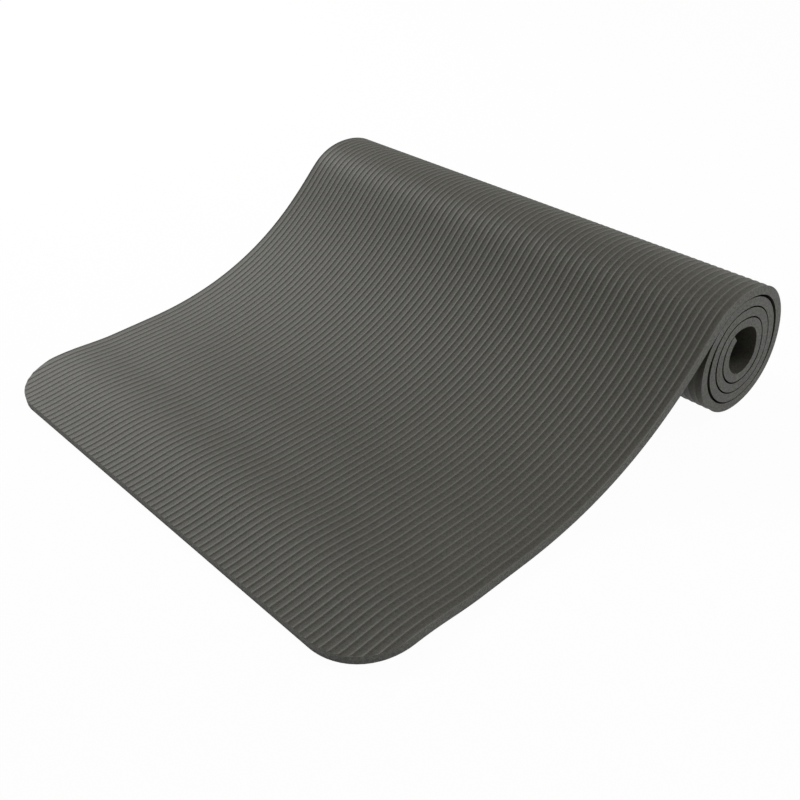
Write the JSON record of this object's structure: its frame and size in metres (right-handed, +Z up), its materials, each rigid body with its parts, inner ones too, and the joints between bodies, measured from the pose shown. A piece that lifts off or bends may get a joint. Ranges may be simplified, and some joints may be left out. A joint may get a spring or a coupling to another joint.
{
  "type": "fitness mat",
  "caption": "Ribbed foam exercise mat, its front lying flat on the floor and the rest wound in a loose roll, divided where the foam bends.",
  "frame": {"origin": "on the floor, at the middle of the mat's width and of its whole length as it lies", "axes": "+X across the mat, towards the end of the roll that the picture shows; +Y from the free front edge to the roll; +Z up"},
  "size_m": [0.61, 0.5944, 0.1394],
  "materials": {
    "foam": "matte"
  },
  "bodies": {
    "front_end": {"front_end": "foam"},
    "front_flap_1": {"front_flap_1": "foam"},
    "front_flap_2": {"front_flap_2": "foam"},
    "floor_panel": {"floor_panel": "foam"},
    "rise_1": {"rise_1": "foam"},
    "rise_2": {"rise_2": "foam"},
    "rise_3": {"rise_3": "foam"},
    "rise_4": {"rise_4": "foam"},
    "rise_5": {"rise_5": "foam"},
    "crest_1": {"crest_1": "foam"},
    "wound_roll": {"crest_2": "foam", "outer_turn_1": "foam", "outer_turn_2": "foam", "outer_turn_3": "foam", "outer_turn_4": "foam", "outer_turn_5": "foam", "outer_turn_6": "foam", "outer_turn_7": "foam", "outer_turn_8": "foam", "outer_turn_9": "foam", "outer_turn_10": "foam", "outer_turn_11": "foam", "outer_turn_12": "foam", "outer_turn_13": "foam", "second_turn_1": "foam", "second_turn_2": "foam", "second_turn_3": "foam", "second_turn_4": "foam", "second_turn_5": "foam", "second_turn_6": "foam", "second_turn_7": "foam", "second_turn_8": "foam", "second_turn_9": "foam", "second_turn_10": "foam", "second_turn_11": "foam", "second_turn_12": "foam", "third_turn_1": "foam", "third_turn_2": "foam", "third_turn_3": "foam", "third_turn_4": "foam", "third_turn_5": "foam", "third_turn_6": "foam", "third_turn_7": "foam", "third_turn_8": "foam", "third_turn_9": "foam", "third_turn_10": "foam", "third_turn_11": "foam", "core_turn_1": "foam", "core_turn_2": "foam", "core_turn_3": "foam", "core_turn_4": "foam", "core_turn_5": "foam", "core_turn_6": "foam", "core_turn_7": "foam", "core_turn_8": "foam"}
  },
  "joints": [
    {"name": "front_flap_2_bend", "type": "hinge", "parent": "floor_panel", "child": "front_flap_2", "pos_m": [0, -0.15716, 0.00475], "axis": [-1, 0, 0], "range_deg": [0, 25]},
    {"name": "front_flap_1_bend", "type": "hinge", "parent": "front_flap_2", "child": "front_flap_1", "pos_m": [0, -0.19416, 0.00693], "axis": [-1, 0, 0], "range_deg": [0, 25]},
    {"name": "front_end_bend", "type": "hinge", "parent": "front_flap_1", "child": "front_end", "pos_m": [0, -0.23117, 0.00872], "axis": [-1, 0, 0], "range_deg": [0, 25]},
    {"name": "rise_1_bend", "type": "hinge", "parent": "floor_panel", "child": "rise_1", "pos_m": [0, -0.10217, 0.00475], "axis": [1, 0, 0], "range_deg": [0, 8]},
    {"name": "rise_2_bend", "type": "hinge", "parent": "rise_1", "child": "rise_2", "pos_m": [0, -0.04031, 0.00908], "axis": [1, 0, 0], "range_deg": [0, 8]},
    {"name": "rise_3_bend", "type": "hinge", "parent": "rise_2", "child": "rise_3", "pos_m": [0, 0.02013, 0.02287], "axis": [1, 0, 0], "range_deg": [0, 8]},
    {"name": "rise_4_bend", "type": "hinge", "parent": "rise_3", "child": "rise_4", "pos_m": [0, 0.07732, 0.04677], "axis": [1, 0, 0], "range_deg": [0, 8]},
    {"name": "rise_5_bend", "type": "hinge", "parent": "rise_4", "child": "rise_5", "pos_m": [0, 0.12946, 0.0803], "axis": [1, 0, 0], "range_deg": [0, 8]},
    {"name": "crest_1_bend", "type": "hinge", "parent": "rise_5", "child": "crest_1", "pos_m": [0, 0.17675, 0.12046], "axis": [1, 0, 0], "range_deg": [0, 8]},
    {"name": "crest_2_bend", "type": "hinge", "parent": "crest_1", "child": "wound_roll", "pos_m": [0, 0.2009, 0.13235], "axis": [1, 0, 0], "range_deg": [0, 8]}
  ],
  "couplings": [
    {"joint": "front_flap_1_bend", "follows": "front_flap_2_bend", "ratio": 1},
    {"joint": "front_end_bend", "follows": "front_flap_2_bend", "ratio": 1},
    {"joint": "rise_1_bend", "follows": "rise_2_bend", "ratio": 1},
    {"joint": "rise_3_bend", "follows": "rise_2_bend", "ratio": 1},
    {"joint": "rise_4_bend", "follows": "rise_2_bend", "ratio": 1},
    {"joint": "rise_5_bend", "follows": "rise_2_bend", "ratio": 1},
    {"joint": "crest_1_bend", "follows": "rise_2_bend", "ratio": 1},
    {"joint": "crest_2_bend", "follows": "rise_2_bend", "ratio": 1}
  ]
}
